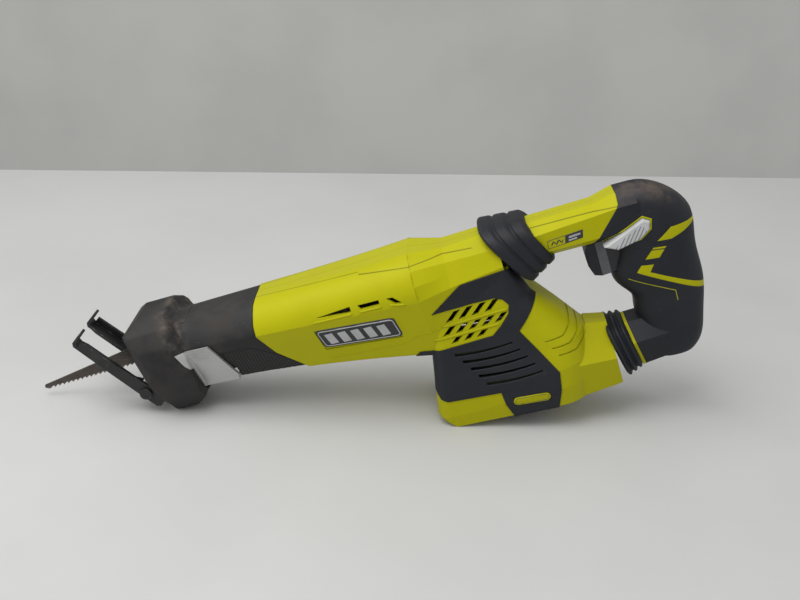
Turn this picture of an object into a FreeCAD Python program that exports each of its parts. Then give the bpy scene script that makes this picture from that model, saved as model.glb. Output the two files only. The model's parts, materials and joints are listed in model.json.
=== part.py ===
"""Cordless reciprocating saw with a vibration-damped rear handle, built from separate pieces.

Millimetres. The pieces are drawn in the saw's own tool frame: X runs along the stroke axis from the nose
(boot front at 0) to the handle, Z is up across it, and Y = 0 is the parting plane of the shells, with the
left side at minus Y. They are then turned so that the saw stands on its boot and the toe of its battery
dock, as it does on a bench: the floor is Z = 0, and the origin is under the middle of the whole saw.
"""
import FreeCAD, Part
import math
import os

V = FreeCAD.Vector
X_AXIS, Y_AXIS, Z_AXIS = V(1, 0, 0), V(0, 1, 0), V(0, 0, 1)

# ---------------------------------------------------------------- driving dimensions
WALL = 2.8                      # moulded shell wall
SKIN = 1.8                      # rubber overmould let into a shell
PROUD = 0.7                     # how far the rubber stands out of the shell
GAP = 0.3                       # running gap round moving trim
SEAM = 0.05                     # half the gap between two shell halves

BOOT_FOOT = (20.0, -53.8)       # x, z of the boot's lowest edge
DOCK_TOE = (232.0, -123.2)      # x, z of the dock's lowest edge
TILT = math.atan2(BOOT_FOOT[1] - DOCK_TOE[1], DOCK_TOE[0] - BOOT_FOOT[0])

STROKE = 22.0
CRANK_X = 142.0                 # crank wheel axis
CRANK_RADIUS = STROKE / 2
WHEEL_TEETH, PINION_TEETH = 42, 8
TOOTH_MODULE = 1.1
WHEEL_MEAN_RADIUS = WHEEL_TEETH * TOOTH_MODULE / 2
WHEEL_FACE = 4.2                # radial length of a tooth
WHEEL_PITCH_Z = -15.7
PINION_PITCH_RADIUS = PINION_TEETH * TOOTH_MODULE / 2
MOTOR_Z = WHEEL_PITCH_Z - PINION_PITCH_RADIUS
MOTOR_FRONT, MOTOR_REAR, MOTOR_RADIUS = 208.0, 274.0, 23.0

BLADE_TIP, BLADE_BACK_END = -96.0, 52.0
BLADE_THICKNESS, TOOTH_PITCH, TOOTH_DEPTH = 1.2, 4.2, 1.7
TEETH_Z = -9.5

SHOE_PIN = (-4.0, -27.0)        # x, z of the shoe's pivot
SHOE_LEAN = math.radians(32.3)  # how far the shoe leans forward of square
SHOE_HALF, SHOE_LENGTH = 24.0, 71.0
SHEET = 2.4                     # shoe sheet metal

LEVER_AXIS = (-12.5, -28.5)     # y, z of the shoe release lever's hinge
LEVER_SWEEP = 11.4              # room the lever's foot needs round its hinge

OUT = "parts"


# ---------------------------------------------------------------- small tools
def block(x0, x1, y0, y1, z0, z1):
    return Part.makeBox(x1 - x0, y1 - y0, z1 - z0, V(x0, y0, z0))


def rod_x(x0, x1, radius, y=0.0, z=0.0):
    return Part.makeCylinder(radius, x1 - x0, V(x0, y, z), X_AXIS)


def rod_y(y0, y1, radius, x, z):
    return Part.makeCylinder(radius, y1 - y0, V(x, y0, z), Y_AXIS)


def rod_z(z0, z1, radius, x, y=0.0):
    return Part.makeCylinder(radius, z1 - z0, V(x, y, z0), Z_AXIS)


def outline(points):
    """Closed wire through points. A point given as (point, via) is reached by an arc through via."""
    edges, last = [], points[-1][0] if isinstance(points[-1][0], V) else points[-1]
    for p in points:
        if isinstance(p, tuple):
            edges.append(Part.Arc(last, p[1], p[0]).toShape())
            last = p[0]
        else:
            edges.append(Part.LineSegment(last, p).toShape())
            last = p
    return Part.Wire(edges)


def side_prism(points, y0, y1):
    """Side-view outline of (x, z) points, carried from y0 to y1."""
    wire = Part.makePolygon([V(x, y0, z) for x, z in points + points[:1]])
    return Part.Face(wire).extrude(V(0, y1 - y0, 0))


def plan_prism(points, z0, z1):
    wire = Part.makePolygon([V(x, y, z0) for x, y in points + points[:1]])
    return Part.Face(wire).extrude(V(0, 0, z1 - z0))


def front_prism(points, x0, x1):
    wire = Part.makePolygon([V(x0, y, z) for y, z in points + points[:1]])
    return Part.Face(wire).extrude(V(x1 - x0, 0, 0))


def fuse(shapes):
    shapes = list(shapes)
    return shapes[0].multiFuse(shapes[1:]).removeSplitter() if len(shapes) > 1 else shapes[0]


def mirrored(shape):
    return shape.mirror(V(0, 0, 0), Y_AXIS)


def side_of(shape, left):
    """The left or right half of a shape, SEAM short of the parting plane."""
    far = 200.0
    y0, y1 = (-far, -SEAM) if left else (SEAM, far)
    return shape.common(block(-200, 600, y0, y1, -300, 300))


def rounded(shape, radius, wanted):
    """Fillets the edges for which wanted(edge) is true, as many as the kernel accepts."""
    edges = [e for e in shape.Edges if wanted(e)]
    try:
        made = shape.makeFillet(radius, edges)
        if made.isValid() and made.Volume > 0:
            return made
    except Part.OCCError:
        pass
    return shape


def spring_coil(centre, direction, radius, wire_radius, length, turns):
    """Round-wire compression spring along direction."""
    helix = Part.makeHelix(length / turns, length, radius)
    start = Part.Wire(Part.Circle(V(radius, 0, 0), Y_AXIS, wire_radius).toShape())
    coil = Part.Wire(helix.Edges).makePipeShell([start], True, True)
    coil.Placement = FreeCAD.Placement(centre, FreeCAD.Rotation(Z_AXIS, direction))
    return coil


# ---------------------------------------------------------------- body forms, each with an inset for its walls
def faceted(arc, corners, arched):
    """Shoulder of a section as straight facets, either following its arc or straight from corner to corner."""
    points = []
    for near, far in (("a", "m"), ("m", "r")):
        start, end = corners[near], corners[far]
        middle = (start + end) * 0.5
        if arched == "facets on the arc":
            curve = arc.toShape().Curve
            middle = curve.value((curve.parameter(start) + curve.parameter(end)) / 2)
        points += [start, middle]
    return points + [corners["r"]]


def barrel_wire(x, flat, top, mid_y, mid_z, ridge_y, ridge_z, foot_y, foot_z, inset, arched):
    """Section across the barrel: flat top, arched or flat-sided shoulders, ridge, lower facet, flat foot."""
    i = inset
    a, m = (flat, top - i), (mid_y - 0.75 * i, mid_z - 0.6 * i)
    r, f = (ridge_y - i, ridge_z), (foot_y - 0.7 * i, foot_z + i)
    p = {k: V(x, y, z) for k, (y, z) in {"a": a, "m": m, "r": r, "f": f}.items()}
    q = {k: V(x, -v.y, v.z) for k, v in p.items()}
    shoulder, mirror = Part.Arc(p["a"], p["m"], p["r"]), Part.Arc(q["r"], q["m"], q["a"])
    if arched == "arc":
        edges = [shoulder.toShape(), mirror.toShape()]
    else:
        left, right = faceted(shoulder, p, arched), faceted(mirror, q, arched)
        edges = [Part.makePolygon(left), Part.makePolygon(right[::-1])]
    lines = [(p["r"], p["f"]), (p["f"], q["f"]), (q["f"], q["r"]), (q["a"], p["a"])]
    down, foot, up, flat_top = [Part.makeLine(s, e) for s, e in lines]
    return Part.Wire([*edges[0].Edges, down, foot, up, *edges[1].Edges, flat_top])


# x, flat half width, top, shoulder y, z, ridge y, z, foot y, z
BARREL = [
    (40.0, 9.0, 23.5, 24.6, 16.5, 31.0, 3.0, 19.0, -35.5),
    (108.0, 10.0, 22.5, 28.5, 15.0, 36.5, 0.0, 21.5, -40.5),
    (168.0, 12.0, 22.3, 30.5, 14.0, 38.5, -3.5, 23.5, -48.5),
    (236.0, 15.0, 23.8, 32.5, 15.0, 40.0, -8.0, 26.5, -61.0),
]
SHOULDER = [
    (236.0, 15.0, 23.8, 32.5, 15.0, 40.0, -8.0, 26.5, -61.0),
    (262.0, 11.0, 18.5, 26.0, 12.0, 34.0, -6.0, 30.0, -34.0),
    (304.0, 9.0, 20.0, 23.5, 10.0, 30.0, -3.0, 26.0, -20.0),
]


def barrel_form(inset, x_start=None):
    stations = BARREL if x_start is None else [s for s in BARREL if s[0] >= x_start]
    wires = [barrel_wire(*s, inset, "arc") for s in stations]
    return Part.makeLoft(wires, True, False)


def shoulder_form(inset):
    kinds = ["facets on the arc", "straight facets", "straight facets"]
    wires = [barrel_wire(*s, inset, kind) for s, kind in zip(SHOULDER, kinds, strict=True)]
    return Part.makeLoft(wires, True, True)


# z, front x, rear x, half width, front corner radius, rear corner radius
DECKS = [
    (-6.0, 246.0, 307.0, 28.5, 8.0, 6.0),
    (-34.0, 238.0, 318.0, 30.5, 8.0, 22.0),
    (-57.0, 231.5, 336.0, 31.5, 9.0, 27.0),
    (-78.0, 227.0, 350.0, 34.0, 10.0, 29.0),
    (-97.0, 222.5, 350.0, 38.0, 11.0, 28.0),
    (-113.0, 219.0, 346.0, 38.6, 12.0, 24.0),
    (-134.0, 219.0, 342.0, 36.6, 12.0, 22.0),
]


def deck_wire(z, front, rear, half, front_corner, rear_corner, inset):
    """Plan outline of the dock at one height: a rectangle with round corners."""
    front, rear, half = front + inset, rear - inset, half - inset
    c, d = max(front_corner - inset, 1.5), max(rear_corner - inset, 1.5)
    k = 1 - math.sqrt(0.5)
    points = [
        V(front, half - c, z), V(front, c - half, z),
        (V(front + c, -half, z), V(front + k * c, -half + k * c, z)), V(rear - d, -half, z),
        (V(rear, d - half, z), V(rear - k * d, -half + k * d, z)), V(rear, half - d, z),
        (V(rear - d, half, z), V(rear - k * d, half - k * d, z)), V(front + c, half, z),
        (V(front, half - c, z), V(front + k * c, half - k * c, z)),
    ]
    edges, last = [], points[0]
    for p in points[1:]:
        to = p[0] if isinstance(p, tuple) else p
        edge = Part.Arc(last, p[1], to) if isinstance(p, tuple) else Part.LineSegment(last, to)
        edges.append(edge.toShape())
        last = to
    return Part.Wire(edges)


def dock_form(inset):
    return Part.makeLoft([deck_wire(*d, inset) for d in DECKS], True, True)


def bar_wire(x, top, top_half, ridge, ridge_half, low, low_half, inset):
    """Six-sided section across a bar, slanted sides meeting at a ridge."""
    t, r, b = (top_half - 0.5 * inset, top - inset), (ridge_half - inset, ridge), (low_half - 0.5 * inset, low + inset)
    half = [t, r, b]
    points = half + [(-y, z) for y, z in reversed(half)]
    return Part.makePolygon([V(x, y, z) for y, z in points + points[:1]])


# x, top, top half, ridge, ridge half, low, low half
TAIL = [(316.0, -70.0, 12.0, -97.0, 37.0, -134.0, 34.0), (368.0, -81.0, 8.0, -105.0, 28.5, -131.0, 24.0)]


def tail_form(inset):
    return Part.makeLoft([bar_wire(*t, inset) for t in TAIL], True, True)


UNDERSIDE = [(190, -300), (190, -94), (219, -109), DOCK_TOE, (318, -128.5), (362, -129.5), (420, -126), (420, -300)]


def body_form(inset, x_start=None):
    """The whole main housing: barrel, arm, dock and tail, with the dock's sloping underside."""
    shapes = [barrel_form(inset, x_start), shoulder_form(inset), dock_form(inset), tail_form(inset)]
    under = [(x, z + (inset if z > -299 else 0)) for x, z in UNDERSIDE]
    return fuse(shapes).cut(side_prism(under, -100, 100))


PARTING = [(70, 60), (110.5, 60), (110.5, 24), (108.5, 20), (106, 8), (105.5, -1), (113.5, -21), (131, -42), (150, -70),
           (70, -70)]       # the shell's front edge: everything in front of it is boot


def front_zone(shift=0.0):
    return side_prism([(x + shift if x > 80 else 20, z) for x, z in PARTING], -100, 100)


def grip_wire(z, front, rear, half, inset):
    """Rounded section across the grip at one height."""
    front, rear, half = front + inset, rear - inset, half - inset
    middle, reach, power, count = (front + rear) / 2, (rear - front) / 2, 0.82, 16
    points = []
    for n in range(count):
        c, s = math.cos(2 * math.pi * n / count), math.sin(2 * math.pi * n / count)
        y = half * math.copysign(abs(s) ** power, s)
        points.append(V(middle + reach * math.copysign(abs(c) ** power, c), y, z))
    curve = Part.BSplineCurve()
    curve.interpolate(points, PeriodicFlag=True)
    return Part.Wire(curve.toShape())


# z, front x, rear x, half width
GRIP = [
    (23.0, 404.0, 416.0, 5.0),
    (20.0, 400.5, 424.0, 11.0),
    (13.0, 398.0, 435.0, 17.0),
    (1.0, 396.0, 446.0, 20.5),
    (-14.0, 391.0, 451.0, 22.0),
    (-30.0, 387.0, 449.5, 21.0),
    (-45.0, 381.5, 449.0, 20.0),
    (-60.0, 388.5, 449.5, 19.0),
    (-78.0, 392.0, 447.5, 19.0),
    (-98.0, 395.0, 443.0, 20.0),
    (-114.0, 396.0, 438.0, 20.0),
    (-121.0, 399.0, 432.0, 18.0),
]


def grip_form(inset):
    sections = [(z, a, b, h) for z, a, b, h in GRIP if inset < 4 or 4 < h - inset]
    top, low = sections[0], sections[-1]
    sections = [(top[0] - inset, *top[1:]), *sections[1:-1], (low[0] + inset, *low[1:])]
    return Part.makeLoft([grip_wire(*s, inset) for s in sections], True, False)


def hex_wire(x, top, top_half, high, high_half, low, low_half, base, base_half, inset):
    """Eight-sided section across the handle's upper bar."""
    i = inset
    half = [(top_half - 0.4 * i, top - i), (high_half - i, high - 0.4 * i), (low_half - i, low + 0.4 * i),
            (base_half - 0.4 * i, base + i)]
    points = half + [(-y, z) for y, z in reversed(half)]
    return Part.makePolygon([V(x, y, z) for y, z in points + points[:1]])


HANDLE_BAR = [
    (327.0, 17.5, 8.0, 9.5, 20.5, -5.5, 19.0, -11.0, 12.0),
    (380.0, 17.8, 8.0, 12.5, 20.8, -6.0, 20.0, -11.5, 13.0),
    (398.0, 22.0, 9.0, 13.8, 21.0, -6.0, 20.5, -12.0, 14.0),
    (412.0, 22.0, 8.0, 12.8, 19.0, -6.0, 20.0, -12.0, 14.0),
]
HANDLE_TAIL = [(378.0, -85.5, 9.0, -100.0, 22.0, -123.5, 17.0), (412.0, -86.0, 12.0, -99.0, 20.0, -120.0, 16.0)]
TAIL_FRONT = [(360, -70), (378.2, -70), (390.2, -140), (360, -140)]     # slanted front of the handle's lower bar


def handle_form(inset):
    bar = Part.makeLoft([hex_wire(*s, inset) for s in HANDLE_BAR], True, True)
    tail = Part.makeLoft([bar_wire(*t, inset) for t in HANDLE_TAIL], True, True)
    return bar.fuse(grip_form(inset)).fuse(tail.cut(side_prism(TAIL_FRONT, -50, 50)))


# ---------------------------------------------------------------- outlines seen from the side
PANEL = [(241.5, -23), (269, -6), (305, -5.6), (330, -30), (301.5, -57.5), (322.6, -98.5), (320, -114), (313, -133),
         (280.5, -133), (275, -114), (274.2, -102.5), (231.5, -98.7), (226.5, -96), (224.5, -91), (215, -60), (222, -54.8),
         (232, -56.5), (281, -55.5), (289, -49.5), (297.5, -41), (299.8, -34), (296.5, -28.5), (290, -25.5), (262, -24.5)]
BADGE = [(281.5, -109.5), (310.5, -112.0), (310.5, -119.5), (282.0, -117.5)]
NAME_PLATE = [(150, -9.5), (213, -16.5), (214, -36.0), (152, -30.5)]
TOP_SLOTS = [[(156, 1.6), (184, 3.2), (184, -1.0), (181, -1.2)], [(190, 2.6), (207, 2.4), (207, -1.2), (192, -1.0)],
             [(213, 2.0), (218, 1.6), (224, -4.2), (219, -4.0)]]
STRIPES = [
    [(451, -15.5), (449, -13), (431, -12), (419, -20.3), (429.5, -21.6), (440, -19)],
    [(415.3, -24.7), (424.8, -26.2), (418, -34.2), (407.5, -33.0)],
    [(403.7, -37.3), (412.8, -38.6), (409, -44.5), (452, -70.5), (452, -76), (399.2, -42.5)],
    [(392, -47), (424, -65.5), (424, -74), (424.6, -74), (424.6, -65.1), (392, -46.3)],
]
RUBBER = [(392, 40), (398.5, 21), (397.8, 15.5), (375, -10), (371, -14), (371, -60), (378, -60), (382.6, -82), (392.8, -140),
          (470, -140), (470, 40)]
TRIGGER = [(368, -13), (365.3, -20), (365.6, -31), (368.5, -39), (374, -41), (392, -40), (392, -13)]
LOCK_PAD = [(380, -13), (412.5, 0.2), (417, -2.5), (415.5, -8.5), (407.5, -14.5), (390, -18)]
LEVER = [(43.7, 1.8), (64.5, 1.5), (75, -33), (73, -42), (43.7, -42)]


def grown(points, by):
    """The outline pushed outward by that much, corner by corner."""
    area = sum(a[0] * b[1] - b[0] * a[1] for a, b in zip(points, points[1:] + points[:1], strict=True))
    turn = 1 if area > 0 else -1
    made = []
    for before, here, after in zip(points[-1:] + points[:-1], points, points[1:] + points[:1], strict=True):
        ux, uz = here[0] - before[0], here[1] - before[1]
        vx, vz = after[0] - here[0], after[1] - here[1]
        lu, lv = math.hypot(ux, uz), math.hypot(vx, vz)
        nx, nz = uz / lu + vz / lv, -ux / lu - vx / lv
        size = max(nx * nx + nz * nz, 0.6)
        made.append((here[0] + turn * by * 2 * nx / size, here[1] + turn * by * 2 * nz / size))
    return made


SCREW_SPOTS = [(190, -45.5), (240, 9.5), (240, -80), (326, -60), (328, -117.5)]
HANDLE_SCREW_SPOTS = [(350, 1), (431, 3), (425, -56), (420, -105)]
HEAD_DEPTH = 3.6                # screw heads sit this far below the right flank


def make_screws(spots, form):
    """Screws driven from the right side into the left shell: the screws, their bosses and the room they need."""
    screws, bosses, room = [], [], []
    for x, z in spots:
        reach = form.common(Part.makeLine(V(x, 4, z), V(x, 80, z)))
        y = max(v.Point.y for v in reach.Vertexes) - HEAD_DEPTH
        socket = Part.makeCylinder(1.3, 1.4, V(x, y - 1.4, z), Y_AXIS)
        screws.append(rod_y(y - 2.4, y, 3.2, x, z).cut(socket).fuse(rod_y(-12, y - 2.0, 1.5, x, z)))
        bosses.append(rod_y(-60, 60, 4.6, x, z))
        room += [rod_y(y - 2.4, y + 12, 3.4, x, z), rod_y(-12.2, y, 1.5, x, z)]
    return Part.makeCompound(screws), fuse(bosses), Part.makeCompound(room)


# ---------------------------------------------------------------- main housing
def vent_slots():
    """Slanting inlet slots in the lower flank: three rows, left apart by two long ribs."""
    rows = [(-26.6, -34.6, 9.0, (249.0, 259.4, 269.8, 280.2)), (-39.0, -45.4, 7.4, (243.6, 254.0, 264.4, 274.8, 285.2)),
            (-48.6, -53.2, 5.4, (248.0, 258.4, 268.8))]
    slots = []
    for high, low, lean, starts in rows:
        for x in starts:
            slots.append([(x + lean, high), (x + lean + 5.2, high), (x + 5.2, low), (x, low)])
    return slots


def side_band(start, via, end, wide, narrow, y0, y1):
    """Crescent slot seen from the side: two arcs through the same ends, wide at the start, narrow at the end."""
    top = [V(x, y0, z + t) for (x, z), t in zip((start, via, end), (wide, 0.5 * (wide + narrow), narrow), strict=True)]
    low = [V(x, y0, z) for x, z in (end, via, start)]
    wire = Part.Wire([Part.Arc(*top).toShape(), Part.makeLine(top[2], low[0]), Part.Arc(*low).toShape(),
                      Part.makeLine(low[2], top[0])])
    return Part.Face(wire).extrude(V(0, y1 - y0, 0))


def lobe_grooves():
    """Three nested grooves that follow the rounded lobe behind the dock."""
    cuts = []
    for n in range(3):
        path = [(343.0 + 4.6 * n, -60.5 - 7.0 * n), (339.6 + 5.0 * n, -69.5 - 7.0 * n), (333.0 + 3.6 * n, -73.0 - 7.2 * n),
                (319.0 + 3.6 * n, -72.5 - 6.8 * n)]
        back = [(x - 1.0, z + 1.0) for x, z in reversed(path)]
        cuts.append(side_prism(path + back, -60, 60))
    return fuse(cuts).common(body_form(-1.5, 100).cut(body_form(0.9, 100)))


def make_housing():
    outer, inner = body_form(0.0), body_form(WALL)
    shell = outer.cut(inner).cut(front_zone())
    battery_way = block(249, 313, -25.5, 25.5, -140, -100)
    walls = fuse([block(x, x + 2.4, -40, 40, -16, 26) for x in (286.7, 301.1)]
                 + [block(x, x + 2.4, -40, 40, -134, -60) for x in (342.1, 356.9)])
    ways = fuse([block(280, 310, -10.2, 10.2, -6.2, 8.2), block(336, 372, -10.2, 10.2, -110.2, -93.8)])
    screws, bosses, screw_room = make_screws(SCREW_SPOTS, outer)
    shell = shell.fuse([walls.common(inner), bosses.common(inner)]).cut(battery_way).cut(ways).cut(screw_room)
    skin = body_form(-PROUD, 100).cut(body_form(SKIN, 100))
    panel = skin.common(fuse([side_prism(PANEL, -90, -12), side_prism(PANEL, 12, 90)]))
    panel = panel.cut(battery_way).cut(screw_room)
    badge_hole = fuse([side_prism(BADGE, -90, -12), side_prism(BADGE, 12, 90)])
    badges = panel.common(badge_hole)
    badges = badges.cut(body_form(0.4 - PROUD, 100).cut(body_form(-PROUD - 1, 100)))
    shell = shell.cut(panel)
    panel = panel.cut(badge_hole)
    shell = shell.cut(lobe_grooves())
    for n in range(5):
        ends = (248 + 4.4 * n, -64.2 - 7.3 * n), (270 + 4.6 * n, -66.4 - 7.2 * n), (294 + 4.1 * n, -65.6 - 7.1 * n)
        louvre = side_band(*ends, 2.8, 1.5, -90, -20)
        panel = panel.cut(louvre).cut(mirrored(louvre))
        if n in (1, 2, 3):
            shell = shell.cut(louvre).cut(mirrored(louvre))
    slots = [side_prism(s, -60, -20) for s in vent_slots() + TOP_SLOTS]
    slots += [mirrored(s) for s in slots]
    shell = shell.cut(Part.makeCompound(slots))
    plate_form = body_form(-0.6, 100).cut(body_form(0.8, 100))
    plates = plate_form.common(fuse([side_prism(NAME_PLATE, -60, -12), side_prism(NAME_PLATE, 12, 60)]))
    shell = shell.cut(plates)
    parts = {"name_plates": plates, "battery_badges": badges, "housing_screws": screws}
    for left, word in ((True, "left"), (False, "right")):
        parts[f"housing_{word}"] = side_of(shell, left)
        parts[f"flank_rubber_{word}"] = side_of(panel, left)
    return parts


def lever_zone(clearance):
    """Where the shoe release lever lies: on the boot's lower left flank, just turned under its foot."""
    form = barrel_form(-1.0 - clearance).cut(barrel_form(2.2 + clearance))
    reach = side_prism(grown(LEVER, clearance) if clearance else LEVER, -60, -14.5 + clearance)
    return form.common(reach)


COLLAR_SIDE = [(0, 27), (1, 3), (10.5, -33), (13.5, -51), BOOT_FOOT, (27, -54.2), (32, -51), (50, -37), (53, -31),
               (48, -8), (44.5, 12), (41, 21.5), (35.5, 32.5), (11, 33.5)]
COLLAR_FRONT = [(-17, 34), (17, 34), (31, 26), (37, 12), (37.5, -8), (33, -32), (22, -49.5), (13, -54.5), (-13, -54.5),
                (-22, -49.5), (-33, -32), (-37.5, -8), (-37, 12), (-31, 26)]
COLLAR_PLAN = [(-5, -24), (0, -28), (6, -35), (12, -38), (29, -38), (36, -35), (48, -29), (60, -27), (60, 27), (48, 29),
               (36, 35), (29, 38), (12, 38), (6, 35), (0, 28), (-5, 24)]
BOOT_MOUTH = [(-13, 22), (13, 22), (20, 14), (21.5, -28), (17, -40), (-17, -40), (-21.5, -28), (-20, 14)]


def make_boot():
    """Rubber boot over the gearcase nose, flared into a hand guard at the front."""
    neck = barrel_form(0.9).common(front_zone(-0.25))
    neck = neck.fuse(Part.Face(barrel_wire(*BARREL[0], 0.9, "arc")).extrude(V(-9, 0, 0)))
    collar = side_prism(COLLAR_SIDE, -50, 50).common(front_prism(COLLAR_FRONT, -5, 60))
    collar = collar.common(plan_prism(COLLAR_PLAN, -70, 50))
    hollow = barrel_form(4.2)
    boot = collar.fuse(neck).cut(front_prism(BOOT_MOUTH, -5, 46)).cut(hollow)
    hinge_y, hinge_z = LEVER_AXIS
    sweep = rod_x(43.4, 75.6, LEVER_SWEEP, hinge_y, hinge_z)
    pocket = side_prism(grown(LEVER, GAP), -60, -14.5 + GAP).cut(barrel_form(2.2 + GAP))
    boot = boot.cut(pocket).cut(sweep)
    web = front_prism([(-14.4, -26.2), (-10.8, -30.2), (-15.0, -35.6), (-20.0, -35.0)], 47, 70)
    lever = fuse([lever_zone(0.0), web, rod_x(44.0, 75.0, 3.0, hinge_y, hinge_z)])
    lever = lever.cut(rod_x(30, 90, 1.54, hinge_y, hinge_z))
    pin = rod_x(41.0, 78.0, 1.5, hinge_y, hinge_z)
    return {"front_boot": boot, "shoe_release_lever": lever, "lever_pin": pin}, sweep


# ---------------------------------------------------------------- gearcase and crank
def make_gearcase(sweep):
    """Split casting: crank chamber and nose tube, with a flat cover over the crank."""
    room = body_form(4.7)
    chamber = block(114, 170, -25, 25, -8.5, 10).fuse(rod_z(-19.8, -6, 28.5, CRANK_X))
    hub = rod_z(-36.0, -19.0, 12.0, CRANK_X)
    nose = rod_x(72.0, 118.0, 14.5)
    channel = fuse([block(58, 126, -15, 15, -37, -12), block(40.5, 60, -16.5, 13, -37, -17)])
    rear = block(165, 182, -17, 17, -33, 10)
    casting = fuse([chamber, hub, nose, channel, rear])
    casting = casting.cut(block(116.5, 167.5, -22.3, 22.3, -9, 12)).cut(rod_z(-17.6, 0, 26.2, CRANK_X))
    casting = casting.cut(rod_x(50, 112, 10.0)).cut(rod_x(50, 70, 14.3)).cut(rod_x(110, 120, 8.4)).cut(rod_x(160, 190, 8.0)).cut(rod_x(160, 190, 8.0, 0, MOTOR_Z))
    casting = casting.cut(block(153, 172, -9, 9, -27, -12)).cut(rod_z(-60, 0, 8.0, CRANK_X))
    casting = casting.cut(rod_z(-23.0, 0, 9.4, CRANK_X)).cut(block(38, 127.5, -9.6, 9.6, -30.6, -23.4))
    casting = casting.cut(block(113, 200, -40, 40, 10, 20)).cut(sweep).cut(rod_x(38, 80, 1.5, *LEVER_AXIS))
    casting = casting.common(room)
    cover = block(114, 182, -25, 25, 10.0, 12.4).common(room)
    screws = []
    for x, y in [(117, -18.5), (117, 18.5), (177, -13), (177, 13)]:
        cover = cover.cut(rod_z(0, 20, 1.75, x, y))
        casting = casting.cut(rod_z(2.0, 20, 1.6, x, y))
        screws.append(rod_z(2.2, 12.4, 1.6, x, y).fuse(rod_z(12.4, 14.0, 2.8, x, y)))
    return {
        "gearcase": casting, "gearcase_cover": cover, "gearcase_screws": Part.makeCompound(screws),
        "spindle_front_bush": rod_x(76, 96, 10.0).cut(rod_x(70, 100, 7.05)),
        "spindle_seal": rod_x(72, 75.5, 10.0).cut(rod_x(70, 80, 7.05)),
        "spindle_rear_bush": rod_x(168, 180, 8.0).cut(rod_x(160, 190, 5.05)),
        "crank_bearing": rod_z(-36, -24, 8.0, CRANK_X).cut(rod_z(-40, -20, 5.04, CRANK_X)),
    }


def wheel_tooth(angle):
    """One straight-flanked tooth on the underside of the crank wheel."""
    inner, outer = WHEEL_MEAN_RADIUS - WHEEL_FACE / 2, WHEEL_MEAN_RADIUS + WHEEL_FACE / 2
    root, tip = WHEEL_PITCH_Z + 1.3 * TOOTH_MODULE, WHEEL_PITCH_Z - 0.9 * TOOTH_MODULE

    def section(radius):
        pitch = 2 * math.pi * radius / WHEEL_TEETH
        wide, narrow = 0.31 * pitch, 0.10 * pitch
        return Part.makePolygon([V(radius, -wide, root), V(radius, wide, root), V(radius, narrow, tip),
                                 V(radius, -narrow, tip), V(radius, -wide, root)])

    tooth = Part.makeLoft([section(inner), section(outer)], True, True)
    tooth.rotate(V(0, 0, 0), Z_AXIS, math.degrees(angle))
    return tooth.translate(V(CRANK_X, 0, 0))


def make_crank():
    root = WHEEL_PITCH_Z + 1.3 * TOOTH_MODULE
    wheel = rod_z(root, -9.0, WHEEL_MEAN_RADIUS + WHEEL_FACE / 2, CRANK_X).fuse(rod_z(-22.5, root, 9.0, CRANK_X))
    for n in range(6):
        a = math.radians(60 * n)
        wheel = wheel.cut(rod_z(root - 1, 0, 3.0, CRANK_X + 16.3 * math.cos(a), 16.3 * math.sin(a)))
    wheel = wheel.cut(rod_z(-30, 0, 5.0, CRANK_X)).cut(rod_z(-30, 0, 4.0, CRANK_X, CRANK_RADIUS))
    teeth = [wheel_tooth(2 * math.pi * (n + 0.5) / WHEEL_TEETH) for n in range(WHEEL_TEETH)]
    return {
        "crank_wheel": wheel.multiFuse(teeth),
        "crank_pin": rod_z(-13.5, -7.3, 4.0, CRANK_X, CRANK_RADIUS),
        "crank_shaft": rod_z(-37.0, -9.0, 5.0, CRANK_X),
    }


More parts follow.
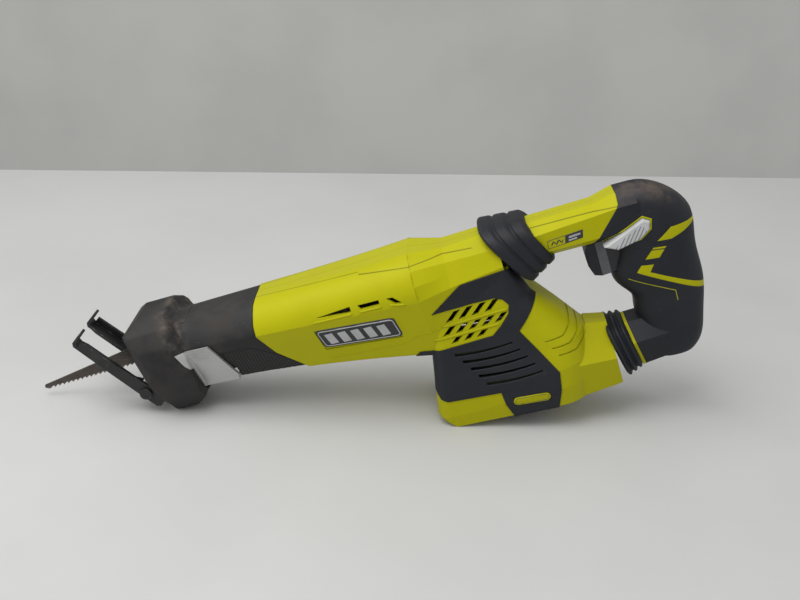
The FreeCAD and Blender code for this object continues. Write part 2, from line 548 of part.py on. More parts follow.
def make_spindle():
    half = STROKE / 2
    frame = block(CRANK_X - 12, CRANK_X + 12, -21, 21, -6, 6)
    slot = block(CRANK_X - 6.2, CRANK_X + 6.2, -half - 6.4, half + 6.4, -10, 10)
    tail = rod_x(CRANK_X + 11, 182, 5.0)
    front_socket = rod_x(CRANK_X - 13, CRANK_X - 9, 4.0)
    yoke = frame.cut(slot).fuse(tail).cut(front_socket)
    yoke = rounded(yoke, 2.5, lambda e: abs(e.tangentAt(e.FirstParameter).z) > 0.99 and e.Length > 11)
    rod = rod_x(58, CRANK_X - 12, 7.0).fuse(rod_x(CRANK_X - 12, CRANK_X - 9, 4.0))
    rod = rod.cut(rod_x(58, 64, 4.0))
    clamp = rod_x(42, 58, 9.5).fuse(rod_x(58, 63.5, 4.0))
    blade_slot = block(40, 54, -0.7, 0.7, -6.7, 6.7)
    clamp = clamp.cut(blade_slot).cut(rod_y(-12, 12, 2.2, 47, 0))
    teeth = []
    count = int((34 - BLADE_TIP - 4) / TOOTH_PITCH)
    for n in range(count):
        x = 34 - TOOTH_PITCH * n
        teeth += [(x, TEETH_Z + TOOTH_DEPTH), (x - 0.8, TEETH_Z + TOOTH_DEPTH), (x - TOOTH_PITCH + 0.4, TEETH_Z)]
    tip = [(BLADE_TIP + 2.5, TEETH_Z + 0.3), (BLADE_TIP, TEETH_Z + 2.0), (BLADE_TIP + 1.0, -5.2)]
    shank = [(18, 9.5), (36, 9.5), (40, 6.35), (BLADE_BACK_END, 6.35), (BLADE_BACK_END, -6.35), (40, -6.35)]
    blade = side_prism(teeth + tip + shank, -BLADE_THICKNESS / 2, BLADE_THICKNESS / 2)
    blade = blade.cut(rod_y(-5, 5, 2.3, 47, 0))
    sleeve = rod_x(43, 57, 13.5).cut(rod_x(40, 60, 9.8))
    for n in range(12):
        a = math.radians(30 * n)
        sleeve = sleeve.cut(rod_x(40, 60, 1.3, 14.0 * math.cos(a), 14.0 * math.sin(a)))
    return {
        "spindle": rod, "scotch_yoke": yoke, "blade": blade, "clamp_body": clamp,
        "crank_roller": rod_z(-5.4, 5.4, 6.1, CRANK_X, half).cut(rod_z(-6, 6, 4.1, CRANK_X, half)),
        "clamp_pin": rod_y(-9.3, 9.3, 2.2, 47, 0), "clamp_sleeve": sleeve,
    }


# ---------------------------------------------------------------- motor
def make_motor():
    z, front, rear, r = MOTOR_Z, MOTOR_FRONT, MOTOR_REAR, MOTOR_RADIUS
    can = rod_x(front, rear, r, 0, z).cut(rod_x(front + 1.6, rear + 5, r - 1.6, 0, z)).cut(rod_x(front - 5, front + 5, 5.0, 0, z))
    magnet_ring = rod_x(front + 8, rear - 12, r - 1.6, 0, z).cut(rod_x(front, rear, r - 5.4, 0, z))
    magnets = magnet_ring.cut(block(front, rear, -r, r, z - 5, z + 5))
    end = rod_x(rear, rear + 9, r, 0, z).cut(rod_x(rear - 1, rear + 6, r - 2.5, 0, z)).cut(rod_x(rear, rear + 12, 4.9, 0, z))
    brushes = [block(rear - 3.0, rear + 5.5, s * 9.5 - 3.2, s * 9.5 + 3.2, z - 2.4, z + 2.4) for s in (-1, 1)]
    core = rod_x(front + 12, rear - 16, r - 6.2, 0, z).cut(rod_x(front, rear, 2.5, 0, z))
    for n in range(12):
        a = math.radians(30 * n)
        core = core.cut(rod_x(front, rear, 1.5, (r - 7.2) * math.cos(a), z + (r - 7.2) * math.sin(a)))
    fan_disc = rod_x(200.5, 202.0, 21.0, 0, z).fuse(rod_x(197.5, 205.5, 6.0, 0, z))
    blades = []
    for n in range(11):
        blade = block(195.5, 200.5, -0.8, 0.8, 9.0, 20.5)
        blade.rotate(V(0, 0, 0), X_AXIS, 360 / 11 * n)
        blades.append(blade.translate(V(0, 0, z)))
    fan = fan_disc.multiFuse(blades).cut(rod_x(190, 210, 2.5, 0, z))
    root = PINION_PITCH_RADIUS - 1.25 * TOOTH_MODULE
    pinion_x = CRANK_X + WHEEL_MEAN_RADIUS
    pinion = rod_x(pinion_x - 2.6, pinion_x + 3.2, root, 0, z)
    for n in range(PINION_TEETH):
        tip, wide, narrow = PINION_PITCH_RADIUS + 0.9 * TOOTH_MODULE, 0.95, 0.42
        tooth = front_prism([(-wide, root - 0.8), (wide, root - 0.8), (narrow, tip), (-narrow, tip)], pinion_x - 2.6, pinion_x + 3.2)
        tooth.rotate(V(0, 0, 0), X_AXIS, 360 / PINION_TEETH * n)
        pinion = pinion.fuse(tooth.translate(V(0, 0, z)))
    pinion = pinion.cut(rod_x(150, 200, 2.5 - 0.6, 0, z))
    shaft = rod_x(pinion_x - 2.6, pinion_x + 4, 1.9, 0, z).fuse(rod_x(pinion_x + 3.2, rear + 8.5, 2.5, 0, z))
    bearing = {
        "motor_front_bearing": rod_x(174, 181, 8.0, 0, z).cut(rod_x(170, 185, 2.55, 0, z)),
        "motor_rear_bearing": rod_x(rear + 4.5, rear + 9, 4.9, 0, z).cut(rod_x(rear, rear + 12, 2.55, 0, z)),
    }
    return {
        "motor_can": can, "motor_magnets": magnets, "motor_end_cap": end, "motor_brushes": Part.makeCompound(brushes),
        "armature_core": core, "commutator": rod_x(rear - 10, rear + 4, 6.2, 0, z).cut(rod_x(rear - 12, rear + 6, 2.5, 0, z)),
        "cooling_fan": fan, "motor_pinion": pinion, "motor_shaft": shaft, **bearing,
    }


# ---------------------------------------------------------------- shoe
def shoe_frame(shape):
    """Carries a shape drawn with the pivot at 0, the arms along +Z and the work face to -X to its leaning place."""
    shape.rotate(V(0, 0, 0), Y_AXIS, -math.degrees(SHOE_LEAN))
    return shape.translate(V(SHOE_PIN[0], 0, SHOE_PIN[1]))


def make_shoe():
    flange = [(-4.5, -13), (-2, -16), (3, -16), (6.0, -10), (7.0, 2), (6.0, 22), (5.0, 45), (4.6, 66), (-3, 66), (-4.0, 30)]
    side = side_prism(flange, -SHOE_HALF, -SHOE_HALF + SHEET)
    plate = [(-SHOE_HALF + SHEET, -14), (SHOE_HALF - SHEET, -14), (SHOE_HALF - SHEET, 66), (12.5, 66), (11, 60), (11, 14), (7, 8),
             (-7, 8), (-11, 14), (-11, 60), (-12.5, 66), (-SHOE_HALF + SHEET, 66)]
    face = front_prism(plate, -3, -3 + SHEET)
    tab_side = [(-3, 65.5), (-3, 68.5), (-0.6, 71), (9.4, 71.0), (9.4, 68.8), (0.4, 68.8), (-0.6, 65.5)]
    tab = side_prism(tab_side, -SHOE_HALF, -12.5)
    shoe = fuse([side, mirrored(side), face, tab, mirrored(tab)])
    shoe = shoe.cut(rod_y(-40, 40, 3.06, 0, 0)).cut(block(-8, 1, -21.2, 21.2, -7, 7))
    grooves = [block(-3.2, -2.6, -20, 20, z, z + 1.0) for z in (-11, -7, -3, 1, 5)]
    shoe = shoe_frame(shoe.cut(Part.makeCompound(grooves)))
    px, pz = SHOE_PIN
    pin = rod_y(-SHOE_HALF - 1.6, SHOE_HALF + 1.6, 3.0, px, pz)
    for s in (-1, 1):
        near, far = s * (SHOE_HALF + 0.3), s * (SHOE_HALF + 1.9)
        pin = pin.fuse(rod_y(min(near, far), max(near, far), 5.0, px, pz))
    post = block(px, 112, -8.5, 8.5, pz - 3.0, pz + 3.0).fuse(rod_y(-20.6, 20.6, 5.4, px, pz)).cut(rod_y(-40, 40, 3.0, px, pz))
    for n in range(6):
        post = post.cut(block(62 + 7 * n, 65 + 7 * n, -20, 20, pz - 4, pz - 1.8))
    return {"shoe": shoe, "shoe_pin": pin, "shoe_post": post}


# ---------------------------------------------------------------- handle
def make_handle():
    outer, skin_in, cavity = handle_form(0.0), handle_form(SKIN), handle_form(SKIN + 2.4)
    rubber_zone = side_prism(RUBBER, -60, 60)
    stripes = fuse([side_prism(s, -60, 60) for s in STRIPES])
    rubber = outer.cut(skin_in).common(rubber_zone).cut(stripes)
    trigger_way = side_prism(grown(TRIGGER, 0.5), -10.6, 10.6).fuse(block(372, 404, -10.6, 10.6, -41.5, -12.4))
    pad_way = side_prism(grown(LOCK_PAD, 0.4), -60, 60)
    pad_rim = side_prism(grown(LOCK_PAD, 1.7), -60, 60).common(side_prism([(370, -30), (370, 30), (440, 30), (440, -6)], -60, 60))
    rubber = rubber.cut(trigger_way).cut(pad_way).cut(pad_rim)
    screws, bosses, screw_room = make_screws(HANDLE_SCREW_SPOTS, outer)
    rubber = rubber.cut(screw_room)
    shell = outer.cut(cavity).fuse(bosses.common(cavity)).cut(screw_room)
    shell = shell.cut(rubber).cut(trigger_way).cut(pad_way)
    trigger_solid = side_prism(TRIGGER, -10, 10)
    trigger_solid = rounded(trigger_solid, 3.0, lambda e: e.BoundBox.XMax < 368 and e.BoundBox.YLength < 1)
    guide = block(390, 399.5, -7.5, 7.5, -34, -18)
    trigger_solid = trigger_solid.cut(block(380, 391, -8.5, 8.5, -37, -16)).fuse(guide)
    split = block(360, 374.5, -20, 20, -60, 0)
    pad = side_prism(LOCK_PAD, -24.2, 24.2)
    pad = rounded(pad, 1.4, lambda e: abs(abs(e.BoundBox.YMin) - 24.2) < 0.1 and e.BoundBox.YLength < 0.1)
    pad = pad.cut(block(376, 420, -14, 14, -30, -8.2))
    switch = block(409, 433, -9.5, 9.5, -40, -19).fuse(block(405, 409, -4, 4, -31, -23))
    parts = {
        "trigger_face": trigger_solid.common(split), "trigger": trigger_solid.cut(split),
        "lock_off_button": pad, "switch_module": switch, "handle_screws": screws,
        "trigger_spring": spring_coil(V(400.1, 0, -20.3), X_AXIS, 1.7, 0.4, 8.2, 5),
    }
    for left, word in ((True, "left"), (False, "right")):
        parts[f"handle_{word}"] = side_of(shell, left)
        parts[f"grip_rubber_{word}"] = side_of(rubber, left)
    return parts


def slanted_wire(ring, shrink):
    """Rounded outline in a plane that slants in the side view: ring is top x, z, bottom x, z, half width."""
    x_top, z_top, x_low, z_low, half = ring
    middle, reach = V((x_top + x_low) / 2, 0, (z_top + z_low) / 2), math.hypot(x_top - x_low, z_top - z_low) / 2
    up = V(x_top - middle.x, 0, z_top - middle.z).normalize()
    power, count, points = 0.66, 20, []
    for n in range(count):
        c, s = math.cos(2 * math.pi * n / count), math.sin(2 * math.pi * n / count)
        rise = (reach - shrink) * math.copysign(abs(c) ** power, c)
        points.append(middle + up * rise + V(0, (half - shrink) * math.copysign(abs(s) ** power, s), 0))
    curve = Part.BSplineCurve()
    curve.interpolate(points, PeriodicFlag=True)
    return Part.Wire(curve.toShape())


def lerp(a, b, t):
    return [p + (q - p) * t for p, q in zip(a, b, strict=True)]


# front and rear ring: top x, z, bottom x, z, half width
UPPER_BELLOWS = ((291.0, 25.6, 322.5, -28.5, 31.0), (327.0, 23.0, 344.5, -15.5, 24.0))
LOWER_BELLOWS = ((364.5, -82.0, 374.5, -132.5, 26.0), (380.6, -83.5, 388.0, -126.5, 23.0))


def make_bellows(ends, ribs, rib_share, depth, bore):
    """Rubber concertina between two slanted rings, its ribs and valleys lofted, with a bore right through."""
    wires, step = [], 1.0 / ribs
    for n in range(ribs):
        for share, shrink in ((0.0, depth), (0.5 - rib_share / 2, 0.0), (0.5 + rib_share / 2, 0.0)):
            wires.append(slanted_wire(lerp(*ends, (n + share) * step), shrink))
    wires.append(slanted_wire(ends[1], depth))
    slabs = [Part.makeLoft(wires[n:n + 2], True, True) for n in range(len(wires) - 1)]
    return fuse(slabs).cut(bore)


def make_joints_of_handle(housing_form, handle_solid):
    """Bellows, the tongues that carry the handle, and the rubber stop rings round them."""
    upper_bore = front_prism([(-16, -10), (16, -10), (16, 12), (-16, 12)], 280, 350)
    lower_bore = front_prism([(-14, -114), (14, -114), (14, -90), (-14, -90)], 350, 400)
    upper = make_bellows(UPPER_BELLOWS, 3, 0.62, 2.2, upper_bore).cut(housing_form).cut(handle_solid)
    lower = make_bellows(LOWER_BELLOWS, 3, 0.34, 2.8, lower_bore).cut(housing_form).cut(handle_solid)
    upper_tongue = fuse([block(293.4, 328, -8, 8, -4, 6), block(293.4, 296.6, -14, 14, -9, 11),
                         block(328, 336, -12.4, 12.4, -5, 8.6)])
    lower_tongue = fuse([block(349, 387, -8, 8, -108, -96), block(349, 352.4, -12, 12, -112, -92),
                         block(387, 394, -10, 10, -112, -93)])
    upper_pads = [block(x, x + 2, -14, 14, -9, 11).cut(block(x - 1, x + 3, -10.2, 10.2, -6.2, 8.2)) for x in (289.3, 298.9)]
    lower_pads = [block(x, x + 2, -12, 12, -113, -91).cut(block(x - 1, x + 3, -10.2, 10.2, -110.2, -93.8)) for x in (344.7, 354.7)]
    return {
        "bellows_upper": upper, "bellows_lower": lower, "handle_tongue_upper": upper_tongue,
        "handle_tongue_lower": lower_tongue, "damper_pads_upper": Part.makeCompound(upper_pads),
        "damper_pads_lower": Part.makeCompound(lower_pads),
    }


# ---------------------------------------------------------------- battery socket
def make_socket():
    guide = block(250, 312, -24.5, 24.5, -124, -70).cut(block(252.2, 309.8, -22.3, 22.3, -140, -72.2))
    rails = [block(252.2, 309.8, s * 21.0 - 1.3, s * 21.0 + 1.3, -96, -92) for s in (-1, 1)]
    block_body = block(266, 296, -17, 17, -82, -72.2)
    blades = [block(269, 293, y - 0.6, y + 0.6, -94, -80) for y in (-12, -4, 4, 12)]
    terminals = Part.makeCompound(blades)
    return {
        "battery_guide": guide.fuse(rails[0]).fuse(rails[1]),
        "terminal_block": block_body.cut(terminals), "battery_terminals": terminals,
    }


# ---------------------------------------------------------------- whole saw
def build():
    parts = make_housing()
    boot_parts, sweep = make_boot()
    parts.update(boot_parts)
    parts.update(make_gearcase(sweep))
    parts.update(make_crank())
    parts.update(make_spindle())
    parts.update(make_motor())
    parts.update(make_shoe())
    parts.update(make_handle())
    parts.update(make_joints_of_handle(body_form(-PROUD - GAP), handle_form(-GAP)))
    parts.update(make_socket())
    return parts


def rest_placement(parts):
    """Turns the saw onto its boot and dock toe and centres it over the origin."""
    turn = FreeCAD.Placement(V(0, 0, 0), FreeCAD.Rotation(Y_AXIS, -math.degrees(TILT)))
    box = FreeCAD.BoundBox()
    for shape in parts.values():
        moved = shape.copy()
        moved.Placement = turn.multiply(moved.Placement)
        box.add(moved.optimalBoundingBox(False, False))
    shift = V(-(box.XMin + box.XMax) / 2, -(box.YMin + box.YMax) / 2, -box.ZMin)
    return FreeCAD.Placement(shift, FreeCAD.Rotation(Y_AXIS, -math.degrees(TILT)))


def main():
    os.makedirs(OUT, exist_ok=True)
    parts = build()
    place = rest_placement(parts)
    for name, shape in parts.items():
        moved = shape.copy()
        moved.Placement = place.multiply(moved.Placement)
        moved.exportStep(os.path.join(OUT, name + ".step"))
    print("rest placement", place, "pieces", len(parts))


main()
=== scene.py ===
import json
import math
import bmesh
import bpy
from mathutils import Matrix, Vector
from mathutils.bvhtree import BVHTree


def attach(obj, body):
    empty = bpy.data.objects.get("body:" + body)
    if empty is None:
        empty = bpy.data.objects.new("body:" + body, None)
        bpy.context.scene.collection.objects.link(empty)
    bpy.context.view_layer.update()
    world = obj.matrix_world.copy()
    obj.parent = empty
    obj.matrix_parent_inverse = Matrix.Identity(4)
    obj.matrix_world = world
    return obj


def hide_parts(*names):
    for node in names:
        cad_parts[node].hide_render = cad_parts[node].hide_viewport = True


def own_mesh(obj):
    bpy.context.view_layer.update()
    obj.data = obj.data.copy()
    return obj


# Looks of the cordless reciprocating saw: procedural materials, fine trim laid on the CAD pieces, the stage.
# Outlines and places are millimetres in the tool frame: X runs back along the barrel from the nose, Z goes up
# from the spindle's line, and Y across. Side -1 is the flank that faces the camera, and side 1 the other.
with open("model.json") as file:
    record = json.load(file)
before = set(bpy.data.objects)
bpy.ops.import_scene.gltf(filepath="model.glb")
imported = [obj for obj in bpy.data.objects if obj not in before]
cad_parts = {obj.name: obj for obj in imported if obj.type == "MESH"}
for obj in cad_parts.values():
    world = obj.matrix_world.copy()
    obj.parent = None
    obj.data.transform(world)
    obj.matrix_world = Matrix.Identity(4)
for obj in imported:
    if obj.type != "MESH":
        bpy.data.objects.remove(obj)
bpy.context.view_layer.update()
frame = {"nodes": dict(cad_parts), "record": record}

TILT = math.radians(18.1263)        # the barrel's slope as the saw lies on the floor
NOSE = (-181.703, 44.9078)          # row-frame x and z of the tool frame's origin
HOUSINGS = ("housing_left", "housing_right")
HANDLES = ("handle_left", "handle_right")
GRIPS = ("grip_rubber_left", "grip_rubber_right")
FLANK_RUBBERS = ("flank_rubber_left", "flank_rubber_right")


def row(x, y, z):
    """Tool-frame millimetres to row-frame metres."""
    c, s = math.cos(TILT), math.sin(TILT)
    return Vector((x * c - z * s + NOSE[0], y, x * s + z * c + NOSE[1])) / 1000


# ---------------------------------------------------------------- shader maths written as Python
def arithmetic(name):
    """A method that adds one Math node of this kind."""
    def method(self, *others):
        return self.op(name, *others)
    return method


class Num:
    """A number that varies over a surface. Arithmetic on it adds shader nodes."""

    def __init__(self, paint, socket):
        self.paint, self.socket = paint, socket

    def op(self, name, *others, clamp=False):
        settings = {"operation": name, "use_clamp": clamp}
        return Num(self.paint, self.paint.node("Math", settings, self, *others).outputs[0])

    __add__ = __radd__ = arithmetic("ADD")
    __sub__ = arithmetic("SUBTRACT")
    __mul__ = __rmul__ = arithmetic("MULTIPLY")
    __lt__ = arithmetic("LESS_THAN")
    __gt__ = arithmetic("GREATER_THAN")
    __abs__ = arithmetic("ABSOLUTE")
    least = arithmetic("MINIMUM")
    most = arithmetic("MAXIMUM")
    saw = arithmetic("FRACT")

    def __rsub__(self, other):
        return self * -1.0 + other

    def clamp(self):
        return self.op("ADD", 0.0, clamp=True)

    def step(self, low, high):
        """0 below low, 1 above high, smooth between. With low the larger one: 1 below high, 0 above low."""
        made = self.paint.node("MapRange", {"interpolation_type": "SMOOTHSTEP"}, self, low, high, 0.0, 1.0)
        return Num(self.paint, made.outputs[0])


class Paint:
    """One material under construction."""

    FLAT, SHARP = 0.995, 0.86       # how alike the rounded and the true normal are on a flat and at an edge

    def __init__(self, name):
        self.material = bpy.data.materials.new(name)
        self.material.use_nodes = True
        self.tree = self.material.node_tree
        self.tree.nodes.clear()
        self.spot = self.node("TexCoord").outputs["Object"]
        x, y, z = (Num(self, s) * 1000 for s in self.node("SeparateXYZ", None, self.spot).outputs)
        x, z = x - NOSE[0], z - NOSE[1]
        self.x = x * math.cos(TILT) + z * math.sin(TILT)
        self.y = y
        self.z = z * math.cos(TILT) - x * math.sin(TILT)

    def feed(self, socket, value):
        """Gives a socket a number or colour of its own, or links it. None leaves it alone."""
        if isinstance(value, Num):
            value = value.socket
        if isinstance(value, bpy.types.NodeSocket):
            self.tree.links.new(value, socket)
        elif value is not None:
            opaque = socket.type == "RGBA" and len(value) == 3
            socket.default_value = (*value, 1.0) if opaque else value

    def node(self, kind, settings=None, *values, **named):
        """Adds a node: its settings first, then values or links for its sockets, in order or by name."""
        made = self.tree.nodes.new("ShaderNode" + kind)
        for key, value in (settings or {}).items():
            setattr(made, key, value)
        for socket, value in zip(made.inputs, values):
            self.feed(socket, value)
        for key, value in named.items():
            self.feed(made.inputs[key.replace("_", " ")], value)
        return made

    def noise(self, scale, detail=4.0, rough=0.55, stretch=None):
        spot = self.spot
        if stretch:
            spot = self.node("VectorMath", {"operation": "MULTIPLY"}, spot, stretch).outputs[0]
        made = self.node("TexNoise", None, spot, Scale=scale, Detail=detail, Roughness=rough)
        return Num(self, made.outputs["Fac"])

    def cells(self, scale):
        made = self.node("TexVoronoi", {"feature": "F1"}, self.spot, Scale=scale)
        return Num(self, made.outputs["Distance"])

    def rounded_normal(self, radius):
        return self.node("Bevel", {"samples": 4}, radius / 1000).outputs[0]

    def edges(self, radius):
        """About 1 on sharp edges within radius mm, 0 on flat stretches."""
        flat = self.node("NewGeometry").outputs["Normal"]
        same = self.node("VectorMath", {"operation": "DOT_PRODUCT"}, self.rounded_normal(radius), flat)
        return Num(self, same.outputs["Value"]).step(self.FLAT, self.SHARP)

    def up(self):
        """How far the surface faces up, -1 to 1."""
        normal = self.node("NewGeometry").outputs["Normal"]
        return Num(self, self.node("SeparateXYZ", None, normal).outputs["Z"])

    def mix(self, factor, first, second):
        """Colour between first and second, by factor."""
        made = self.node("Mix", {"data_type": "RGBA", "clamp_factor": True})
        for place, value in ((0, factor), (6, first), (7, second)):
            self.feed(made.inputs[place], value)
        return made.outputs[2]

    def line(self, distance, edge, core):
        """1 along the line where distance is 0, falling off from core to edge mm away from it."""
        return abs(distance).step(edge, core)

    def inside(self, corners, soft=0.25):
        """1 inside a convex outline of (x, z) corners, going either way round, and 0 outside."""
        sides = list(zip(corners, corners[1:] + corners[:1]))
        turn = 1 if sum(a[0] * b[1] - b[0] * a[1] for a, b in sides) > 0 else -1
        reach = None
        for (x0, z0), (x1, z1) in sides:
            length = math.hypot(x1 - x0, z1 - z0)
            nx, nz = -turn * (z1 - z0) / length, turn * (x1 - x0) / length
            depth = self.x * nx + self.z * nz - (x0 * nx + z0 * nz)
            reach = depth if reach is None else reach.least(depth)
        return reach.step(-soft, soft)

    def finish(self, colour, rough, metal=0.0, coat=0.0, glint=(0.5, (1, 1, 1)), height=None, strength=0.3,
               distance=0.3, round_edges=0.6):
        """Joins it all to the surface. glint is specular level and tint; distance and round_edges are mm."""
        normal = self.rounded_normal(round_edges) if round_edges else None
        if height is not None:
            bump = self.node("Bump", None, strength, distance / 1000, Height=height, Normal=normal)
            normal = bump.outputs[0]
        level, tint = glint
        shader = self.node("BsdfPrincipled", None, Base_Color=colour, Roughness=rough, Metallic=metal,
                           Coat_Weight=coat, Coat_Roughness=0.25, Specular_IOR_Level=level,
                           Specular_Tint=tint, Normal=normal)
        self.node("OutputMaterial", None, shader.outputs[0])
        return self.material


def scaled(colour, share, more=0.0):
    """A colour times share, plus more, held at white."""
    return tuple(min(1.0, share * c + more) for c in colour)


# ---------------------------------------------------------------- materials
# places with a finish, painted shade or painted highlight of their own, as convex outlines
# painted shade on the shell behind the louvres
LOUVRE_FIELD = [(228, -58), (300, -57.5), (320, -98), (313, -106), (240, -99), (229, -93)]
KNUCKLE = [(396, 34), (470, 34), (470, -12), (440, 0), (396, 12)]
PALM = [(424, -20), (455, -8), (455, -66), (412, -42)]
COLLAR_CREST = [(30, 40), (46, 40), (50, -10), (36, -10)]
GROOVE_OUTER = [(69.9, -8.2), (98.2, -9.6), (116.2, -24.8), (132.8, -37.6), (133, -51), (78.0, -51)]
GROOVE_INNER = [(71.3, -9.4), (97.6, -10.9), (115.1, -25.5), (131.2, -37.8), (131.3, -51), (79.4, -51)]
STUD_FIELD = [(71.5, -9.6), (97.5, -11.0), (115.0, -25.6), (131.0, -37.9), (131, -50), (79.5, -50)]
LOCK_PAD = [(386, -18), (394, -10.5), (411, -3.5), (413, -9), (406, -14.6), (392, -18)]
TOP_LINE_START, TOP_LINE_END, FLANK_LINE_END, BAR_LINE_START = 105, 196, 285, 330       # places along X
TOP_LINE_OUT, TOP_LINE_SPREAD = 2.3, 0.085      # distance from the middle at X 0, and gain for each mm back
FLANK_LINE_Z, FLANK_LINE_FALL = 33.9, 0.068     # height at X 0, and fall for each mm back
BAR_LINE_Z = 14.6
STUDS_PER_MM, STUD_SLANT = 0.40, 0.03
TOOTH_ROOT, TOOTH_TIP = -7.0, -8.6              # heights on the blade
TRIGGER_FACE_X = 381.5                          # the trigger is black behind this


def moulded_lines(p):
    """Fine grooves along the barrel's top, its flanks and the handle bar: 1 on the line, 0 beside it."""
    out = abs(p.y)
    flank = p.line(p.z + FLANK_LINE_FALL * p.x - FLANK_LINE_Z, 0.42, 0.12)
    flank = flank * p.x.step(FLANK_LINE_END + 1, FLANK_LINE_END - 1) * (p.x > TOP_LINE_END)
    top = p.line(out - TOP_LINE_SPREAD * p.x - TOP_LINE_OUT, 0.55, 0.2)
    top = top * (p.x < TOP_LINE_END) * p.x.step(TOP_LINE_START - 1, TOP_LINE_START + 1) * (p.z > 10)
    bar = p.line(p.z - BAR_LINE_Z, 0.42, 0.12) * p.x.step(BAR_LINE_START, BAR_LINE_START + 1)
    return flank.most(top).most(bar * out.step(0.5, 1.0))


def lime_shell():
    """Grained lime nylon with rubs, scratches and grime, and painted shade low down, in the moulded lines and
    behind the louvres.
    """
    lime, deep_lime, shaded_low_lime = (0.405, 0.392, 0.0025), (0.365, 0.350, 0.003), (0.300, 0.282, 0.004)
    scratched, rubbed, grimy = (0.47, 0.46, 0.10), (0.55, 0.54, 0.10), (0.05, 0.045, 0.02)
    groove_shade, duct_shade = (0.10, 0.09, 0.004), (0.008, 0.008, 0.010)
    p = Paint("lime_shell")
    fine, broad = p.noise(1400, 2), p.noise(38, 5)
    scratch = p.noise(90, 6, 0.7, (1, 1, 9)).step(0.66, 0.72) * p.noise(30, 2).step(0.5, 0.62)
    rub = p.edges(1.1) * p.noise(160, 4).step(0.55, 0.75)
    grime = p.cells(260).step(0.10, 0.03) * p.noise(22, 2).step(0.56, 0.66)
    groove = moulded_lines(p)
    colour = p.mix(broad.step(0.35, 0.7) * 0.35, lime, deep_lime)
    # painted shade: the shell turns darker towards the bottom
    colour = p.mix(p.z.step(-40, -115) * 0.45, colour, shaded_low_lime)
    colour = p.mix(scratch * 0.35, colour, scratched)
    colour = p.mix(rub * 0.4, colour, rubbed)
    colour = p.mix(grime * 0.75, colour, grimy)
    colour = p.mix(groove * 0.75, colour, groove_shade)
    colour = p.mix(p.inside(LOUVRE_FIELD, 0.5), colour, duct_shade)
    rough = 0.38 + 0.16 * p.noise(60, 4) + 0.2 * scratch
    height = fine + 0.5 * p.noise(500, 2) - 4.0 * groove
    return p.finish(colour, rough.clamp(), glint=(0.30, (1.0, 0.93, 0.30)), height=height, strength=0.16,
                    distance=0.16, round_edges=0.9)


def soft_overmould():
    """Dark blue-grey grip rubber, dusty and scuffed over the knuckle, with fine ribs in the palm and a
    painted highlight along its edges.
    """
    rubber, pale_rubber, rim_highlight = (0.0075, 0.0085, 0.0125), (0.0125, 0.0135, 0.0185), (0.045, 0.047, 0.052)
    dusty, scuffed = (0.115, 0.088, 0.070), (0.17, 0.145, 0.125)
    p = Paint("soft_overmould")
    grain, broad = p.noise(2600, 2), p.noise(32, 5)
    dust = (p.up().step(0.15, 0.9) * p.noise(45, 6, 0.65).step(0.38, 0.72)).clamp()
    scuff = p.noise(120, 6, 0.7, (3, 1, 1)).step(0.64, 0.72)
    knuckle = p.inside(KNUCKLE, 7.0)
    colour = p.mix(broad.step(0.3, 0.7), rubber, pale_rubber)
    # painted highlight: the rubber's edges lighter all round
    colour = p.mix(p.edges(0.9) * 0.35, colour, rim_highlight)
    colour = p.mix(dust * (0.12 + 0.62 * knuckle), colour, dusty)
    colour = p.mix(scuff * (0.12 + 0.35 * knuckle), colour, scuffed)
    rough = 0.46 + 0.22 * dust + 0.1 * broad
    rib = ((p.z * 0.95 + p.x * 0.3) * 0.9).saw() - 0.5
    ribs = p.inside(PALM, 1.0) * p.line(rib, 0.5, 0.2)
    return p.finish(colour, rough.clamp(), glint=(0.32, (1, 1, 1)), height=0.35 * grain + 0.5 * ribs,
                    strength=0.3, distance=0.25, round_edges=1.0)


def boot_rubber():
    """Scuffed black nose rubber: worn pale on the collar's crest, with a grooved panel of small studs;
    painted highlight on the stud tops, painted shade between them and in the groove.
    """
    rubber, pale_rubber = (0.013, 0.0125, 0.0135), (0.026, 0.0245, 0.0245)
    dusty, worn_pale, scuffed = (0.070, 0.060, 0.050), (0.165, 0.135, 0.108), (0.22, 0.19, 0.165)
    # painted highlight for the stud tops, painted shade for the gaps between studs and for the groove
    stud_highlight, stud_gap_shade, groove_shade = (0.050, 0.048, 0.048), (0.004, 0.004, 0.004), (0.006, 0.006, 0.006)
    p = Paint("boot_rubber")
    grain, broad = p.noise(1500, 3), p.noise(26, 6, 0.6)
    dust = (p.noise(40, 6, 0.65).step(0.38, 0.70) * (0.35 + 0.65 * p.up().step(-0.6, 0.8))).clamp()
    wear_places = p.inside(COLLAR_CREST, 6.0) + p.edges(2.2) * 0.7
    worn = (wear_places * p.noise(70, 5, 0.7).step(0.40, 0.66)).clamp()
    scuff = p.noise(150, 5, 0.75, (1, 1, 6)).step(0.66, 0.73)
    below_ridge = p.z.step(1, -5)
    pad = p.inside(STUD_FIELD, 0.15) * below_ridge
    groove = (p.inside(GROOVE_OUTER, 0.3) - p.inside(GROOVE_INNER, 0.3)) * below_ridge
    across = (p.x * STUDS_PER_MM).saw() - 0.5
    down = (p.z * STUDS_PER_MM + p.x * STUD_SLANT).saw() - 0.5
    studs = p.line(across, 0.46, 0.26) * p.line(down, 0.46, 0.26)
    colour = p.mix(broad.step(0.3, 0.7), rubber, pale_rubber)
    colour = p.mix(dust * 0.42, colour, dusty)
    colour = p.mix(worn * 0.42, colour, worn_pale)
    colour = p.mix(scuff * 0.5, colour, scuffed)
    # painted highlight on the stud tops, then painted shade in the gaps between them
    colour = p.mix(studs * pad * 0.45, colour, stud_highlight)
    colour = p.mix((1.0 - studs) * pad * 0.85, colour, stud_gap_shade)
    colour = p.mix(groove * 0.85, colour, groove_shade)
    height = 0.12 * grain + 0.9 * studs * pad - 1.0 * groove + 0.15 * broad
    return p.finish(colour, (0.56 + 0.25 * dust).clamp(), glint=(0.28, (1, 1, 1)), height=height,
                    strength=0.75, distance=0.55, round_edges=1.6)


